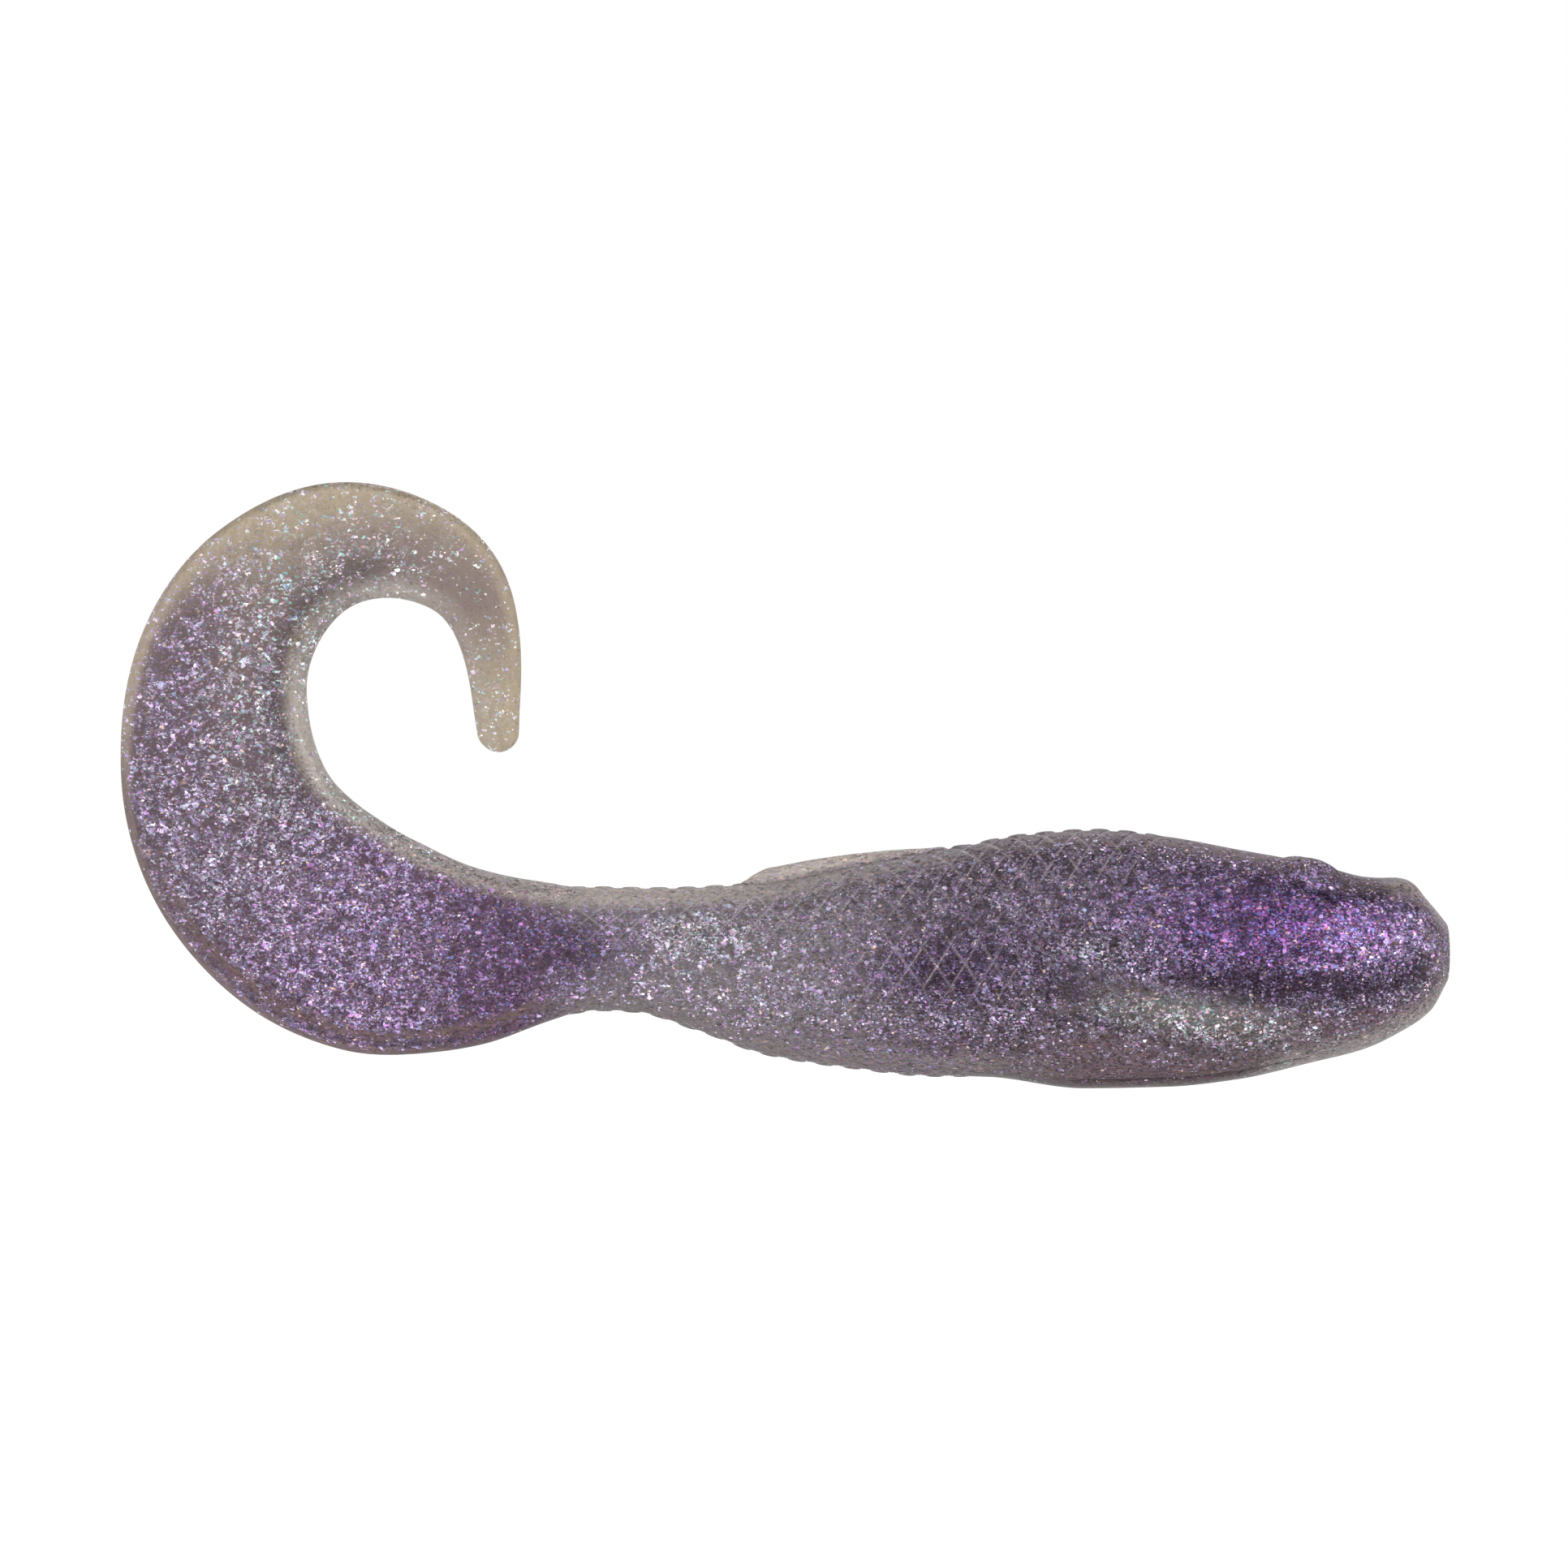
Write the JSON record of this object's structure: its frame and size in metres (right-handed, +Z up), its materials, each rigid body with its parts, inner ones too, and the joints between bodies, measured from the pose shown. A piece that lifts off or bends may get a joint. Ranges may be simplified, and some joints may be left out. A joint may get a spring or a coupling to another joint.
{
  "type": "curly tail swimbait",
  "caption": "Fish-shaped soft plastic lure with a scaled body, raised eyes and gill covers, a low back fin and a broad flat tail that curls up and flexes.",
  "frame": {"origin": "centre of the flat nose face, where a jig head seats", "axes": "+X out of the nose, +Y to the lure's left side, +Z up towards its back, as it swims"},
  "size_m": [0.1275, 0.017, 0.0577],
  "materials": {
    "violet_flake": "smoky translucent soft plastic, dense violet, blue and pink flakes, glossy",
    "smoke_flake": "smoky grey translucent soft plastic with silver and violet flakes and fine moulded scales",
    "purple_blade": "thin translucent soft plastic with purple and silver flakes",
    "clear_tip": "thin beige translucent soft plastic with sparse silver flakes",
    "pale_fin": "thin pale translucent soft plastic",
    "silver_gill": "smoky soft plastic with dense silver flakes",
    "eye_dome": "smoky reddish soft plastic, glossy moulded dome"
  },
  "bodies": {
    "head": {"head": "violet_flake", "eye_left": "eye_dome", "eye_right": "eye_dome", "nostril_left": "violet_flake", "nostril_right": "violet_flake", "gill_cover_left": "silver_gill", "gill_cover_right": "silver_gill"},
    "front_body": {"front_body": "smoke_flake", "fin_front": "pale_fin"},
    "mid_body": {"mid_body": "smoke_flake", "fin_rear": "pale_fin"},
    "rear_body": {"rear_body": "smoke_flake"},
    "tail_wrist": {"tail_wrist": "smoke_flake"},
    "tail_blade_1": {"tail_blade_1": "purple_blade"},
    "tail_blade_2": {"tail_blade_2": "purple_blade"},
    "tail_blade_3": {"tail_blade_3": "purple_blade"},
    "tail_blade_4": {"tail_blade_4": "purple_blade"},
    "tail_blade_5": {"tail_blade_5": "purple_blade"},
    "tail_blade_6": {"tail_blade_6": "purple_blade"},
    "tail_blade_7": {"tail_blade_7": "purple_blade"},
    "tail_tip": {"tail_tip": "clear_tip"}
  },
  "joints": [
    {"name": "neck_flex", "type": "hinge", "parent": "head", "child": "front_body", "pos_m": [-0.04297, 0, 0], "axis": [0, 0, 1], "range_deg": [-12, 12], "stiffness_Nm_per_rad": 0.05},
    {"name": "waist_flex", "type": "hinge", "parent": "front_body", "child": "mid_body", "pos_m": [-0.05649, 0, 0], "axis": [0, 0, 1], "range_deg": [-18, 18], "stiffness_Nm_per_rad": 0.03},
    {"name": "rear_flex", "type": "hinge", "parent": "mid_body", "child": "rear_body", "pos_m": [-0.06964, 0, 0], "axis": [0, 0, 1], "range_deg": [-22, 22], "stiffness_Nm_per_rad": 0.012},
    {"name": "wrist_flex", "type": "hinge", "parent": "rear_body", "child": "tail_wrist", "pos_m": [-0.08098, 0, 0], "axis": [0, 0, 1], "range_deg": [-30, 30], "stiffness_Nm_per_rad": 0.006},
    {"name": "blade_flex_1", "type": "hinge", "parent": "tail_wrist", "child": "tail_blade_1", "pos_m": [-0.09046, 0, -0.00048], "axis": [-0.0851, 0, 0.9964], "range_deg": [-25, 25], "stiffness_Nm_per_rad": 0.004},
    {"name": "blade_flex_2", "type": "hinge", "parent": "tail_blade_1", "child": "tail_blade_2", "pos_m": [-0.10191, 0, 0.00077], "axis": [0.3023, 0, 0.9532], "range_deg": [-25, 25], "stiffness_Nm_per_rad": 0.004},
    {"name": "blade_flex_3", "type": "hinge", "parent": "tail_blade_2", "child": "tail_blade_3", "pos_m": [-0.11185, 0, 0.00653], "axis": [0.7052, 0, 0.709], "range_deg": [-25, 25], "stiffness_Nm_per_rad": 0.004},
    {"name": "blade_flex_4", "type": "hinge", "parent": "tail_blade_3", "child": "tail_blade_4", "pos_m": [-0.11736, 0, 0.01657], "axis": [0.9735, 0, 0.2287], "range_deg": [-25, 25], "stiffness_Nm_per_rad": 0.004},
    {"name": "blade_flex_5", "type": "hinge", "parent": "tail_blade_4", "child": "tail_blade_5", "pos_m": [-0.1173, 0, 0.02805], "axis": [0.9585, 0, -0.285], "range_deg": [-25, 25], "stiffness_Nm_per_rad": 0.003},
    {"name": "blade_flex_6", "type": "hinge", "parent": "tail_blade_5", "child": "tail_blade_6", "pos_m": [-0.11051, 0, 0.03715], "axis": [0.5303, 0, -0.8478], "range_deg": [-25, 25], "stiffness_Nm_per_rad": 0.002},
    {"name": "blade_flex_7", "type": "hinge", "parent": "tail_blade_6", "child": "tail_blade_7", "pos_m": [-0.09936, 0, 0.03867], "axis": [-0.2941, 0, -0.9558], "range_deg": [-25, 25], "stiffness_Nm_per_rad": 0.002},
    {"name": "tip_flex", "type": "hinge", "parent": "tail_blade_7", "child": "tail_tip", "pos_m": [-0.09183, 0, 0.0306], "axis": [-0.9678, 0, -0.2515], "range_deg": [-25, 25], "stiffness_Nm_per_rad": 0.001}
  ]
}
